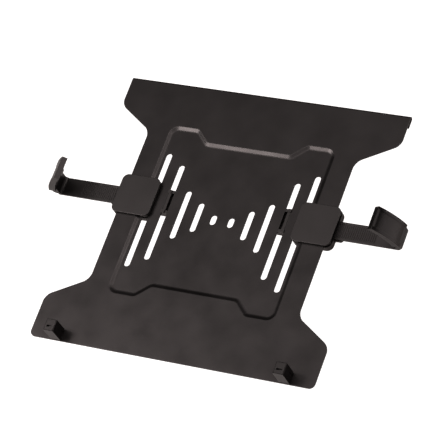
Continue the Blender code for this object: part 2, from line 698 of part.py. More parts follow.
def arm_strap(hand, side, pivot):
    """A flat strap with ribs across its top; its outer end is at the arm's own origin."""
    half = STRAP_WIDTH / 2
    tail = STRAP_START - STRAP_END
    corners = [(0, -half, STRAP_CORNER), (0, half, STRAP_CORNER)]
    corners += [(tail, half, STRAP_CORNER), (tail, -half, STRAP_CORNER)]
    outline = [(side * x, y) for x, y in rounded_outline(corners)]
    slab = prism(outline, STRAP_BOTTOM, STRAP_TOP)
    strap = add_object(hand + "_arm_strap", slab, pivot, "black_plastic")

    grooves = bmesh.new()
    first = PIN_X + PIN_RADIUS + RIB_PITCH - STRAP_END
    count = int((-PLAIN_END - first) / RIB_PITCH)
    for number in range(count):
        start = first + number * RIB_PITCH
        end = start + RIB_PITCH - RIB_WIDTH
        corners = [(start, -RIB_SPAN / 2), (end, -RIB_SPAN / 2), (end, RIB_SPAN / 2), (start, RIB_SPAN / 2)]
        low = [grooves.verts.new((side * x, y, STRAP_TOP - RIB_DEPTH)) for x, y in corners]
        high = [grooves.verts.new((side * x, y, STRAP_TOP + OVERCUT)) for x, y in corners]
        grooves.faces.new(low)
        grooves.faces.new(high)
        for index in range(len(corners)):
            grooves.faces.new((low[index - 1], low[index], high[index], high[index - 1]))
    cut(strap, grooves, "grooves")

    hole = (side * (PIN_X - STRAP_END), 0)
    bores = [rod(hole, PIN_RADIUS + GAP, STRAP_BOTTOM - OVERCUT, STRAP_TOP + OVERCUT)]
    limits = (STRAP_BOTTOM - OVERCUT, STRAP_BOTTOM + JAW_SCREW[2] + GAP, STRAP_TOP + OVERCUT)
    bores += [stepped_bore(place, JAW_SCREW, *limits) for place in jaw_screw_places(side)]
    cut(strap, gather(bores), "bores")
    pin = rod(hole, PIN_RADIUS, STRAP_BOTTOM - PIN_DROP, STRAP_TOP - GAP)
    shade_round(add_object(hand + "_strap_pin", pin, pivot, "dark_zinc"))
    return strap


def jaw_screw_places(side):
    """Two screws side by side under the jaw's neck."""
    for y in (-JAW_SCREW_Y, JAW_SCREW_Y):
        yield -side * JAW_SCREW_INSET, y


def jaw_points():
    """The ends of the jaw's arcs, as (x, z): tip outer, tip inner, neck outer, neck inner."""
    neck_outer = Vector((JAW_OVERHANG, JAW_FOOT + JAW_NECK_TOP))
    tip_outer = Vector((JAW_OVERHANG - JAW_LEAN, JAW_FOOT + JAW_HEIGHT))
    tip_inner = tip_outer - JAW_TIP * Vector((math.cos(JAW_TIP_TILT), math.sin(JAW_TIP_TILT)))
    neck_inner = Vector((JAW_OVERHANG - JAW_NECK, JAW_FOOT + JAW_FOOT_EDGE + JAW_FILLET + JAW_HEEL))
    return tip_outer, tip_inner, neck_outer, neck_inner


def quarter(centre, radius, start, steps=ARC_STEPS):
    """A quarter circle of points that turns clockwise from the start angle, in degrees."""
    angles = [math.radians(start - 90 * step / steps) for step in range(steps + 1)]
    return [Vector((centre[0] + radius * math.cos(a), centre[1] + radius * math.sin(a))) for a in angles]


def jaw_outline():
    """The jaw from the front: outer arc, heel, foot, fillet and gripping arc."""
    tip_outer, tip_inner, neck_outer, neck_inner = jaw_points()
    outer = arc(tip_outer, neck_outer, JAW_ARC_RISE, JAW_ARC_STEPS)
    heel = quarter((JAW_OVERHANG - JAW_HEEL, JAW_FOOT + JAW_HEEL), JAW_HEEL, 0)
    foot_inner = JAW_OVERHANG - JAW_NECK - JAW_FILLET
    fillet = quarter((foot_inner, JAW_FOOT + JAW_FOOT_EDGE + JAW_FILLET), JAW_FILLET, 0)
    gripping = arc(tip_inner, neck_inner, JAW_ARC_RISE, JAW_ARC_STEPS)
    return outer + heel + [Vector((foot_inner, JAW_FOOT))] + fillet[::-1] + gripping[::-1]


def jaw(hand, side, pivot):
    """The hook that holds the laptop's side: a wide leaning wall on a neck as wide as the strap."""
    half = JAW_WIDTH / 2
    outline = [(side * x, z) for x, z in jaw_outline()]
    hook = add_object(hand + "_jaw", prism(outline, -half, half, "Y"), pivot, "black_plastic")
    soften(hook, JAW_EDGE)
    reach = JAW_LEAN + JAW_NECK
    beside_neck = []
    for end in (-1, 1):
        sides = (end * STRAP_WIDTH / 2, end * (half + OVERCUT))
        heights = (JAW_FOOT - OVERCUT, JAW_FOOT + JAW_NECK_TOP)
        beside_neck.append(box((-reach, reach), sides, heights))
    cut(hook, gather(beside_neck), "beside_neck")
    _, tip_inner, _, neck_inner = jaw_points()
    play = GAP / (neck_inner - tip_inner).length
    share = (PAD_START - play, PAD_END + play)
    depth = PAD_THICKNESS - PAD_PROUD + GAP
    back = arc(tip_inner, neck_inner, JAW_ARC_RISE, JAW_ARC_STEPS, share, depth)
    front = arc(tip_inner, neck_inner, JAW_ARC_RISE, JAW_ARC_STEPS, share, -OVERCUT)
    pocket = [(side * x, z) for x, z in back + front[::-1]]
    cut(hook, prism(pocket, -PAD_WIDTH / 2 - GAP, PAD_WIDTH / 2 + GAP, "Y"), "pad_pocket")
    places = list(jaw_screw_places(side))
    tip = JAW_FOOT + JAW_SCREW_BITE
    bore = JAW_SCREW[0] + GAP
    cut(hook, gather([rod(place, bore, JAW_FOOT - OVERCUT, tip + GAP) for place in places]), "bores")
    for number, place in enumerate(places, 1):
        screw(f"{hand}_jaw_screw_{number}", JAW_SCREW, place, STRAP_BOTTOM, tip, pivot)
    return hook


def jaw_pad(hand, side, pivot):
    """The soft liner, seated in a pocket of the gripping face."""
    _, tip_inner, _, neck_inner = jaw_points()
    share = (PAD_START, PAD_END)
    back = arc(tip_inner, neck_inner, JAW_ARC_RISE, JAW_ARC_STEPS, share, PAD_THICKNESS - PAD_PROUD)
    front = arc(tip_inner, neck_inner, JAW_ARC_RISE, JAW_ARC_STEPS, share, -PAD_PROUD)
    outline = [(side * x, z) for x, z in back + front[::-1]]
    body = prism(outline, -PAD_WIDTH / 2, PAD_WIDTH / 2, "Y")
    return add_object(hand + "_jaw_pad", body, pivot, "soft_rubber")


def side_clamp(hand, side, tray):
    """One clamp: the carriage slides along the waist edge and the arm slides outwards in it."""
    carriage = add_pivot(hand + "_clamp_slide", (side * CLAMP_X, CLAMP_Y, 0), tray)
    clamp_cover(hand, side, carriage)
    clamp_housing(hand, side, carriage)
    clamp_lid(hand, side, carriage)
    detent_spring(hand, side, carriage)
    for number, place in enumerate(clamp_screw_places(side), 1):
        head_bottom = LID_BOTTOM + GAP / 2
        screw(f"{hand}_clamp_screw_{number}", CLAMP_SCREW, place, head_bottom, CLAMP_SCREW_TIP, carriage)
    arm = add_pivot(hand + "_arm_slide", (side * (STRAP_END - CLAMP_X), 0, 0), carriage)
    arm_strap(hand, side, arm)
    jaw(hand, side, arm)
    jaw_pad(hand, side, arm)


def build():
    """Model the whole part."""
    clear_scene()
    tray = tray_plate()
    for hand, side in (("left", -1), ("right", 1)):
        front_stop(hand, side, tray)
        side_clamp(hand, side, tray)


build()
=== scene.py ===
# %% [markdown]
# # A laptop tray with two sliding side clamps
#
# The tray is one sheet of black steel.  Its middle is pressed down and slotted, so that an
# arm or a stand can be screwed on from below.  Two posts at the front edge stop the laptop
# from sliding off, and two hooked jaws, on straps that slide in clamps, hold its sides.
#
# The engineering model is loaded first and stays as it is.  Each step below builds the
# finer, visible version of one piece in the same place, and says which part of the
# engineering model it stands for.

import math

import bmesh
import bpy
from mathutils import Matrix, Quaternion, Vector


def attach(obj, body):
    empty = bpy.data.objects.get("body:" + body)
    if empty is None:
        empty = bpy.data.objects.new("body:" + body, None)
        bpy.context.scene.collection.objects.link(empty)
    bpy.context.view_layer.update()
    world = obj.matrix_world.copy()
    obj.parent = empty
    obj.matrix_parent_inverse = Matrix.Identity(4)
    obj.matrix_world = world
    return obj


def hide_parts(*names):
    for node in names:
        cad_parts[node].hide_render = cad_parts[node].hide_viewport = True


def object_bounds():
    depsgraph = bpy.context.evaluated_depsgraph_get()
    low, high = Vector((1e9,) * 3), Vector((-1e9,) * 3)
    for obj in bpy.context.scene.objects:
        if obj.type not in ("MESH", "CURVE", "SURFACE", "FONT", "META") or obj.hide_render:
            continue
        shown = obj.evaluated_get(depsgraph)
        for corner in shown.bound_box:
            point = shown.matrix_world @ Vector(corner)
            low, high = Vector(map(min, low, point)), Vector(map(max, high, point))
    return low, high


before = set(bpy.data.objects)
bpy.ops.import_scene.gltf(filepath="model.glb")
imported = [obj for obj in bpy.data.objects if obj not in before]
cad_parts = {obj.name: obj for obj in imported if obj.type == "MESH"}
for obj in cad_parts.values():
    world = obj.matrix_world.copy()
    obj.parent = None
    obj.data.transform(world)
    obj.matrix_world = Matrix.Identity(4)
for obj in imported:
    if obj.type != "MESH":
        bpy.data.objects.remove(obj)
cad_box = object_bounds()
scene = bpy.context.scene
MM = 0.001
SIDES = {"left": -1, "right": 1}

# %% [markdown]
# ## The camera
#
# A product photographer stands well back with a long lens, which keeps parallel edges
# nearly parallel.  The camera looks at the middle of the slots from the right and the
# front, well above the tray, and it is rolled, so that the tray leans in the picture.
# Three angles could be typed in.  Turning the direction into a rotation with
# `to_track_quat` and adding the roll keeps each number readable.  The lens shift, given
# here in pixels, then centres the picture without turning the camera.

# %% Place the camera
LOOK_AT = Vector((0, 0, 0.75 * MM))
TOWARDS_CAMERA = Vector((0.4468, -0.3731, 0.8131)).normalized()
CAMERA_DISTANCE = 2.588
CAMERA_ROLL = math.radians(34.9)
LENS, SENSOR = 232.4, 36.0
PICTURE_WIDTH = 440
SHIFT_X, SHIFT_Y = -2.11, 1.86
FARTHEST = 20.0


def add_object(name, data):
    """Make an object from its data and put it in the scene."""
    thing = bpy.data.objects.new(name, data)
    scene.collection.objects.link(thing)
    return thing


camera_data = bpy.data.cameras.new("camera")
camera_data.lens = LENS
camera_data.sensor_width = SENSOR
camera_data.shift_x = SHIFT_X / PICTURE_WIDTH
camera_data.shift_y = SHIFT_Y / PICTURE_WIDTH
camera_data.clip_end = FARTHEST
camera = add_object("camera", camera_data)
camera.location = LOOK_AT + TOWARDS_CAMERA * CAMERA_DISTANCE
facing = TOWARDS_CAMERA.to_track_quat("Z", "Y")
camera.rotation_euler = (facing @ Quaternion((0, 0, 1), -CAMERA_ROLL)).to_euler()
scene.camera = camera
bpy.context.view_layer.update()
print("right", [round(v, 3) for v in camera.matrix_world.to_3x3().col[0]])
print("up", [round(v, 3) for v in camera.matrix_world.to_3x3().col[1]])

# %% [markdown]
# ## Building node trees
#
# The surround, the floor and every finish are node trees.  Each node could be added, set
# and wired in lines of its own.  One helper does all three here: an input that is given a
# number or a colour keeps it, and one that is given another node's output is wired to it.
# A node with a setting, such as the operation of a Math node, gets that first, because it
# can change which inputs the node has.

# %% Node helpers
def fill_inputs(tree, node, inputs):
    """Set a node's inputs, or wire other nodes' outputs into them."""
    for socket, value in inputs.items():
        if isinstance(value, bpy.types.NodeSocket):
            tree.links.new(value, node.inputs[socket])
        else:
            node.inputs[socket].default_value = value


def add_node(tree, kind, inputs=None):
    """Add a node, fill its inputs and return its outputs."""
    node = tree.nodes.new(kind)
    fill_inputs(tree, node, inputs or {})
    return node.outputs


def calculate(tree, operation, *values):
    """Put numbers or outputs through a Math node."""
    node = tree.nodes.new("ShaderNodeMath")
    node.operation = operation
    fill_inputs(tree, node, dict(enumerate(values)))
    return node.outputs[0]


def map_range(tree, value, start, end, low, high):
    """Turn the range from start to end into the range from low to high, and clamp it."""
    return add_node(tree, "ShaderNodeMapRange", {
        "Value": value, "From Min": start, "From Max": end, "To Min": low, "To Max": high,
    })["Result"]


print("node helpers ready")

# %% [markdown]
# ## The surround
#
# Satin black is seen mostly by what it reflects.  A plain white room would turn the tray
# grey, and its pressed edges would vanish; an HDR photograph of a studio would be one more
# file.  Here the Light Path node lets the camera see a white surround at a strength of 1,
# without adding any light to the object.  Mirror rays see that surround as well, white
# overhead and fading towards the horizon, as it does in a studio with an open floor.  Matt
# surfaces get a weak, even fill.

# %% Colour the surround
WHITE = (1, 1, 1, 1)
SURROUND_FILL = 0.30
MIRROR_FILL = 0.82
FADE_START, FADE_END = 0.55, 1.0    # heights in the sky, from 0 below to 1 overhead

scene.view_settings.view_transform = "Standard"
world = bpy.data.worlds.new("room")
world.use_nodes = True
scene.world = world
room = world.node_tree
room.nodes.clear()


def background(strength):
    """A white background of some strength."""
    return add_node(room, "ShaderNodeBackground", {"Color": WHITE, "Strength": strength})[0]


ray = add_node(room, "ShaderNodeLightPath")
sky = add_node(room, "ShaderNodeTexCoord")["Generated"]
height = add_node(room, "ShaderNodeSeparateXYZ", {"Vector": sky})["Z"]
overhead = map_range(room, height, FADE_START, FADE_END, 0.0, MIRROR_FILL)
gloss = add_node(room, "ShaderNodeMixShader", {
    "Fac": ray["Is Glossy Ray"], 1: background(SURROUND_FILL), 2: background(overhead)})[0]
straight = calculate(room, "MAXIMUM", ray["Is Camera Ray"], ray["Is Transmission Ray"])
whole = add_node(room, "ShaderNodeMixShader", {"Fac": straight, 1: gloss, 2: background(1.0)})[0]
add_node(room, "ShaderNodeOutputWorld", {"Surface": whole})
print("nodes in the surround:", len(room.nodes))

# %% [markdown]
# ## The lamps
#
# A studio lights such a tray with soft boxes.  Point lamps would be quicker, but they leave
# small hard glints.  A large square lamp hangs over the front left: the sloping edges that
# face it turn bright, and the ones that face away stay dark.  A weak lamp behind lifts the
# rear pressed edge, and a weak one low on the right shows the jaws' outer faces.

# %% Hang the lamps
LAMPS = {    # place and size in metres, power in watts
    "soft_box": ((-0.79, -0.25, 1.04), 0.62, 12.5),
    "edge_lamp": ((0.10, 0.45, 1.22), 0.45, 1.8),
    "side_lamp": ((1.20, 0.50, -0.02), 0.8, 1.7),
}
for name, (place, size, power) in LAMPS.items():
    data = bpy.data.lights.new(name, "AREA")
    data.size = size
    data.energy = power
    lamp = add_object(name, data)
    lamp.location = place
    lamp.rotation_euler = Vector(place).to_track_quat("Z", "Y").to_euler()
    print(name, "at", round(Vector(place).length, 2), "m from the tray")

# %% [markdown]
# ## The floor
#
# The tray hangs well clear of a sheet of pale, warm paper, where an arm would hold it up.
# Plain paper would throw as much light up at the black sides as the lamps do.  So only part
# of its brightness comes from light that really falls on it, which keeps a faint, soft
# shadow.  The rest is added for camera rays, and a little of it for mirror rays.

# %% Lay the floor
FLOOR_DROP = 0.30
FLOOR_SIZE = 8.0
PAPER = (0.60, 0.54, 0.52, 1)
PAPER_ROUGHNESS = 0.9
PAPER_GLOW = 0.86
MIRRORED_GLOW = 0.05    # the share of the glow that mirror rays see

bm = bmesh.new()
bmesh.ops.create_grid(bm, x_segments=1, y_segments=1, size=FLOOR_SIZE)
bmesh.ops.translate(bm, vec=(0, 0, cad_box[0][2] - FLOOR_DROP), verts=bm.verts)
floor_mesh = bpy.data.meshes.new("floor")
bm.to_mesh(floor_mesh)
bm.free()
floor = add_object("floor", floor_mesh)

paper = bpy.data.materials.new("white_paper")
paper.use_nodes = True
tree = paper.node_tree
matt = tree.nodes["Principled BSDF"]
fill_inputs(tree, matt, {"Base Color": PAPER, "Roughness": PAPER_ROUGHNESS})
ray = add_node(tree, "ShaderNodeLightPath")
faint = calculate(tree, "MULTIPLY", ray["Is Glossy Ray"], MIRRORED_GLOW)
either = calculate(tree, "MAXIMUM", ray["Is Camera Ray"], faint)
lift = calculate(tree, "MULTIPLY", either, PAPER_GLOW)
glow = add_node(tree, "ShaderNodeEmission", {"Strength": lift})[0]
both = add_node(tree, "ShaderNodeAddShader", {0: matt.outputs[0], 1: glow})[0]
fill_inputs(tree, tree.nodes["Material Output"], {"Surface": both})
floor_mesh.materials.append(paper)
print("floor at", round(cad_box[0][2] - FLOOR_DROP, 3))

# %% [markdown]
# ## Finishes
#
# Powder coat has a fine orange-peel grain and a slightly uneven sheen; moulded plastic has
# a finer, spark-eroded grain.  Both are rubbed a little smoother along their edges, and the
# edges are coloured lighter: partly wear, partly a painted highlight that stands in for the
# light that rounded edges catch.  Photographs of such surfaces could be wrapped round the
# pieces.  A small node tree on the Principled shader does it without any picture: noise in
# object coordinates gives the grain at its real size, so that it doesn't stretch with the
# piece, and an Ambient Occlusion node that looks inside the piece finds the edges.

# %% Mix a finish
WARM_SHEEN = (1.0, 0.85, 0.83, 1)
DRIFT_SCALE, DRIFT_DETAIL = 35.0, 3.0    # patches of about 30 mm
SPECK_SCALE = 260.0                      # specks of about 4 mm
NOISE_DETAIL = 2.0
DRIFT_START, DRIFT_END = 0.3, 0.7        # where the sheen's drift begins and ends
# The edge mask: convex edges get smoother and lighter; the lighter colour is partly wear and
# partly a painted highlight.
WEAR_AND_HIGHLIGHT_START, WEAR_AND_HIGHLIGHT_FULL = 0.95, 0.55         # the share of inward rays that hit nothing
SPECK_START, SPECK_END = 0.35, 0.65
SPECK_LEAST = 0.35                       # how much a rubbed edge keeps between specks
RUB_POLISH = 0.08                        # how much smoother a rubbed edge is
EDGE_RAYS = 6
BUMP_STRENGTH = 0.35


def grained(name, dark, light, rough, grain, height, wear_and_highlight=(0.03, 0.027, 0.026), edge=0.9,
            metal=0.0):
    """A finish that drifts between two colours, with a fine grain, and lighter edges that are
    partly wear and partly a painted highlight.
    """
    finish = bpy.data.materials.new(name)
    finish.use_nodes = True
    tree = finish.node_tree
    where = add_node(tree, "ShaderNodeTexCoord")["Object"]

    def noise(scale, detail):
        return add_node(tree, "ShaderNodeTexNoise", {
            "Vector": where, "Scale": scale, "Detail": detail})["Fac"]

    def mixed(factor, one, two):
        mix = tree.nodes.new("ShaderNodeMix")
        mix.data_type = "RGBA"
        fill_inputs(tree, mix, {"Factor": factor, "A": one, "B": two})
        return mix.outputs["Result"]

    drift, fine = noise(DRIFT_SCALE, DRIFT_DETAIL), noise(grain, NOISE_DETAIL)
    inward = tree.nodes.new("ShaderNodeAmbientOcclusion")
    inward.inside = True
    inward.only_local = True
    inward.samples = EDGE_RAYS
    inward.inputs["Distance"].default_value = edge * MM
    # Lighter edges: partly wear, partly a painted highlight where rounded edges would catch the
    # light.
    lit_and_worn_edges = map_range(tree, inward.outputs["AO"], WEAR_AND_HIGHLIGHT_START, WEAR_AND_HIGHLIGHT_FULL, 0.0, 1.0)
    specks = map_range(tree, noise(SPECK_SCALE, NOISE_DETAIL), SPECK_START, SPECK_END,
                       SPECK_LEAST, 1.0)
    patchy = calculate(tree, "MULTIPLY", lit_and_worn_edges, specks)
    colour = mixed(drift, (*dark, 1), (*light, 1))
    sheen = map_range(tree, drift, DRIFT_START, DRIFT_END, *rough)
    bump = add_node(tree, "ShaderNodeBump", {
        "Strength": BUMP_STRENGTH, "Distance": height, "Height": fine})["Normal"]
    shader = tree.nodes["Principled BSDF"]
    fill_inputs(tree, shader, {
        "Base Color": mixed(patchy, colour, (*wear_and_highlight, 1)), "Metallic": metal, "Normal": bump,
        "Roughness": calculate(tree, "MULTIPLY_ADD", patchy, -RUB_POLISH, sheen)})
    if not metal:
        shader.inputs["Specular Tint"].default_value = WARM_SHEEN
    return finish


print("finish helper ready")

# %% [markdown]
# ## The six finishes
#
# The sheet is powder coated, the moulded parts are near-black plastic, and the liners are
# rubber.  Screws and pins are zinc plated and blackened, the springs bare steel strip.
# Each could have a node tree of its own.  They differ only in their colours, sheen and
# grain, so one helper makes them all.  The pieces of the engineering model get them too,
# which keeps the two models alike.

# %% Mix the finishes
# Each finish's edge colour, the default in grained or the one given here, is partly wear and
# partly a painted highlight.
powder_black = grained("powder_black", (0.002, 0.0017, 0.0016), (0.007, 0.006, 0.0058),
                       (0.28, 0.40), 900, 0.00004)
moulded_black = grained("moulded_black", (0.008, 0.007, 0.0066), (0.013, 0.0115, 0.011),
                        (0.36, 0.44), 1600, 0.00003)
smooth_black = grained("smooth_black", (0.003, 0.0027, 0.0025), (0.005, 0.0045, 0.0042),
                       (0.26, 0.34), 700, 0.00001)
soft_rubber = grained("soft_rubber", (0.010, 0.010, 0.010), (0.016, 0.016, 0.016),
                      (0.70, 0.85), 2200, 0.00005)
black_zinc = grained("black_zinc", (0.07, 0.07, 0.07), (0.12, 0.12, 0.12), (0.28, 0.40),
                     1500, 0.00001, wear_and_highlight=(0.30, 0.30, 0.30), edge=0.3, metal=1.0)
spring_strip = grained("spring_strip", (0.42, 0.42, 0.43), (0.52, 0.52, 0.53), (0.25, 0.35),
                       900, 0.00001, wear_and_highlight=(0.60, 0.60, 0.60), edge=0.15, metal=1.0)

FINISH_OF = {
    "tray_plate": powder_black, "stop": smooth_black, "clamp_cover": moulded_black,
    "clamp_housing": moulded_black, "clamp_lid": moulded_black, "arm_strap": moulded_black,
    "jaw": smooth_black, "jaw_pad": soft_rubber, "detent_spring": spring_strip,
}
for name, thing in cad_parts.items():
    kind = name.split("_", 1)[1] if name != "tray_plate" else name
    finish = FINISH_OF.get(kind, black_zinc)
    thing.data.materials.clear()
    thing.data.materials.append(finish)
print(len(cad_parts), "pieces of the engineering model have a finish")

# %% [markdown]
# ## Drawing outlines with rounded corners
#
# Nearly every piece here starts as a flat outline: the blank of the sheet, a slot, the
# slab of a moulded cap.  The outline could be typed in point by point.  It is quicker to
# give only its sharp corners and to let the bevel operator, set to vertices, round each
# one.  The offset of that bevel is measured along the edges, so a radius is divided by the
# tangent of half the corner's angle.  All sizes below are in millimetres; the last step of
# each piece turns them into metres.

# %% Outline helpers
def draw_outline(bm, corners, z=0.0, steps=10):
    """Add a flat face through (x, y, radius) corners, with each corner rounded."""
    before = set(bm.faces)
    verts = [bm.verts.new((x, y, z)) for x, y, radius in corners]
    bm.faces.new(verts)
    places = [Vector((x, y)) for x, y, radius in corners]
    for index, vert in enumerate(verts):
        radius = corners[index][2]
        if radius:
            back = places[index - 1] - places[index]
            ahead = places[(index + 1) % len(places)] - places[index]
            bmesh.ops.bevel(bm, geom=[vert], offset=radius / math.tan(back.angle(ahead) / 2),
                            offset_type="OFFSET", segments=steps, profile=0.5,
                            affect="VERTICES", material=-1)
    return next(face for face in bm.faces if face not in before)


def both_halves(corners):
    """Complete a right-hand run of corners with its mirror image."""
    return corners + [(-x, y, radius) for x, y, radius in reversed(corners)]


def rectangle(x0, x1, y0, y1, radius=0.0):
    """The corners of a rectangle, anticlockwise."""
    return [(x0, y0, radius), (x1, y0, radius), (x1, y1, radius), (x0, y1, radius)]


def ring(bm, place, z, radius, segments=24, cap=False):
    """A circle of vertices, open or capped."""
    verts = bmesh.ops.create_circle(bm, cap_ends=cap, segments=segments,
                                    radius=radius)["verts"]
    bmesh.ops.translate(bm, vec=(*place, z), verts=verts)
    return verts


print("outline helpers ready")

# %% [markdown]
# ## From outlines to solids
#
# A punched sheet is an outline with holes, and a moulding is an outline with height.  Solid
# blocks cut with Booleans would give both, with untidy faces round every cut.  Here the
# holes come first: their rims and the outer rim are filled together, and an extrusion then
# gives the height.

# %% Solid helpers
ROUND_STEPS = 4


def open_up(bm, face):
    """Remove a face but keep its edges, as the rim of a hole."""
    edges = list(face.edges)
    bmesh.ops.delete(bm, geom=[face], context="FACES_ONLY")
    return edges


def each_once(items):
    """The items without repeats, in an order that is the same on every run."""
    return list(dict.fromkeys(items))


def edges_of(verts):
    """The edges that meet some vertices."""
    return each_once(edge for vert in verts for edge in vert.link_edges)


def fill_between(bm, *rims):
    """Fill the flat area that several rims enclose, holes left open."""
    edges = [edge for rim in rims for edge in rim]
    bmesh.ops.triangle_fill(bm, use_beauty=True, use_dissolve=False, edges=edges,
                            normal=(0, 0, 1))


def verts_in(items):
    """The vertices among the results of an operator."""
    return [item for item in items if isinstance(item, bmesh.types.BMVert)]


def pull(bm, faces, vec):
    """Extrude faces and move them; returns the moved faces."""
    region = list(faces)
    for face in faces:
        region += [*face.edges, *face.verts]
    made = bmesh.ops.extrude_face_region(bm, geom=each_once(region))["geom"]
    bmesh.ops.translate(bm, vec=vec, verts=verts_in(made))
    return [item for item in made if isinstance(item, bmesh.types.BMFace)]


def slab(bm, corners, low, high, steps=10):
    """A closed plate with rounded corners between two levels; returns its top."""
    base = draw_outline(bm, corners, low, steps)
    return pull(bm, [base], (0, 0, high - low))[0]


def round_edges(bm, edges, width):
    """Round chosen edges."""
    bmesh.ops.bevel(bm, geom=list(edges), offset=width, offset_type="OFFSET",
                    segments=ROUND_STEPS, profile=0.5, affect="EDGES", clamp_overlap=True,
                    material=-1)


print("solid helpers ready")

# %% [markdown]
# ## Finishing a piece
#
# Real sheet and mouldings have no knife edges: every edge carries a small radius, and
# that is where the light catches.  The radius could be modelled edge by edge.  A Bevel
# modifier limited by angle finds the edges itself, and a Weighted Normal modifier after it
# keeps the large flat faces looking flat.  The piece is then attached to the body that it
# rides on, and the engineering pieces that it stands for are hidden.

# %% Finishing helper
MERGE_WITHIN = 0.001
SHARP_ANGLE = math.radians(35)
BEVEL_ANGLE = math.radians(40)


def finished(bm, name, finish, body, nodes, edge, side=1, place=(0, 0, 0), sheet=0.0,
             segments=2):
    """Turn a drawing in millimetres into a piece in metres that rides on a body."""
    bmesh.ops.remove_doubles(bm, verts=bm.verts, dist=MERGE_WITHIN)
    bmesh.ops.scale(bm, vec=(side * MM, MM, MM), verts=bm.verts)
    bmesh.ops.translate(bm, vec=Vector(place) * MM, verts=bm.verts)
    bmesh.ops.recalc_face_normals(bm, faces=bm.faces)
    if sheet:
        middle = min(bm.faces, key=lambda face: face.calc_center_median().length)
        if middle.normal.z < 0:
            bmesh.ops.reverse_faces(bm, faces=bm.faces)
    mesh = bpy.data.meshes.new(name)
    bm.to_mesh(mesh)
    bm.free()
    mesh.materials.append(finish)
    mesh.shade_smooth()
    mesh.set_sharp_from_angle(angle=SHARP_ANGLE)
    piece = add_object(name, mesh)
    if sheet:
        wall = piece.modifiers.new("sheet", "SOLIDIFY")
        wall.thickness = sheet * MM
        wall.offset = -1
        wall.use_even_offset = True
    if edge:
        bevel = piece.modifiers.new("soft_edges", "BEVEL")
        bevel.width = edge * MM
        bevel.segments = segments
        bevel.limit_method = "ANGLE"
        bevel.angle_limit = BEVEL_ANGLE
    flat = piece.modifiers.new("flat_faces", "WEIGHTED_NORMAL")
    flat.keep_sharp = True
    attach(piece, body)
    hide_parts(*nodes)
    return piece


print("finishing helper ready")

# %% [markdown]
# ## The tray sheet
#
# The tray is laser-cut from 1.5 mm steel.  The sheet could be cut out of a block with
# Booleans.  Here it is drawn as one surface, without any thickness: first the blank's
# outline, then the recess, the slots and the folded edge.  Solidify gives the thickness at
# the end, which is the same everywhere, as in real sheet.

# %% Draw the blank
SHEET = 1.5
RIM_TOP = 3.0
TRAY_HALF = 144.8
FRONT_Y = -144.8
WING_Y = 102.7
WAIST_HALF, WAIST_Y = 106.8, 79.6
HEM_Y = 131.25
CORNER_RADIUS, WING_RADIUS, WAIST_RADIUS = 5.5, 11, 12

tray = bmesh.new()
blank = draw_outline(tray, both_halves([
    (TRAY_HALF, FRONT_Y, CORNER_RADIUS), (TRAY_HALF, -WING_Y, WING_RADIUS),
    (WAIST_HALF, -WAIST_Y, WAIST_RADIUS), (WAIST_HALF, WAIST_Y, WAIST_RADIUS),
    (TRAY_HALF, WING_Y, WING_RADIUS), (TRAY_HALF, HEM_Y, 0)]), RIM_TOP)
blank_rim = open_up(tray, blank)
print("blank", 2 * TRAY_HALF, "by", round(HEM_Y - FRONT_Y, 2), "mm up to the fold")

# %% [markdown]
# ## The pressed recess
#
# A press sinks the middle of the sheet by one thickness, and the four deeper ears of the
# recess make room for the ends of the long slots.  A single sloping face would look like a
# chamfer.  Real sheet bends in at its upper edge quickly and runs out softly below, so the
# slope is a row of narrow insets, each with its own steepness.

# %% Press the recess
PRESS_RUN = 5.0
PRESS_DEPTH = 1.5
PRESS_STEPS = 15
PRESS_OUTSIDE = 0.37               # the share of the run that lies outside the named corners
BEND_IN, BEND_OUT = 0.2, 0.45      # the shares of the run over which the sheet bends
EAR_X, EAR_Y = 43.5, 74.9
EAR_RUN, EAR_STEP = 13.5, 12.6
PANEL_HALF = 84.5
EAR_RADIUS, STEP_RADIUS, PANEL_RADIUS = 6.5, 5, 8

grow = PRESS_RUN * PRESS_OUTSIDE
slide = grow * math.tan(math.atan2(EAR_STEP, EAR_RUN) / 2)
ear_end = EAR_Y + EAR_STEP + grow
front_ear = [(EAR_X - slide, -EAR_Y - grow, EAR_RADIUS - grow),
             (EAR_X + EAR_RUN - slide, -ear_end, STEP_RADIUS + grow),
             (PANEL_HALF + grow, -ear_end, PANEL_RADIUS + grow)]
rear_ear = [(x, -y, radius) for x, y, radius in reversed(front_ear)]
floor_face = draw_outline(tray, both_halves(front_ear + rear_ear), RIM_TOP)
floor_face.normal_update()
shares = [(step + 0.5) / PRESS_STEPS for step in range(PRESS_STEPS)]
steepness = [min(share / BEND_IN, 1.0, (1 - share) / BEND_OUT) for share in shares]
for slope in steepness:
    bmesh.ops.inset_region(tray, faces=[floor_face], thickness=PRESS_RUN / PRESS_STEPS,
                           depth=-PRESS_DEPTH * slope / sum(steepness),
                           use_even_offset=True, use_boundary=True)
press_rim = [edge for edge in tray.edges if edge.is_boundary]
print("press steps", PRESS_STEPS, "floor at", round(floor_face.calc_center_median().z, 3))

# %% [markdown]
# ## The slots
#
# Ten slots with round ends take the screws of whatever carries the tray, and two small
# holes take the stops' screws.  Booleans could cut them afterwards.  Drawing their rims in
# the open floor and filling the sheet round them leaves clean edges.  The ends' radius is
# a hair under half the width, so that the two corners of an end don't meet in one point.

# %% Cut the slots and the screw holes, and fill the sheet
SLOTS = ((9, 10), (26, 30), (43, 50), (60, 100), (77, 120))    # distance out, and length
SLOT_HALF = 3.0
HAIR = 0.0004
END_STEPS = 12
STOP_X = 116.6
STOP_SCREW_Y = -140.6
SCREW_HOLE = 1.8

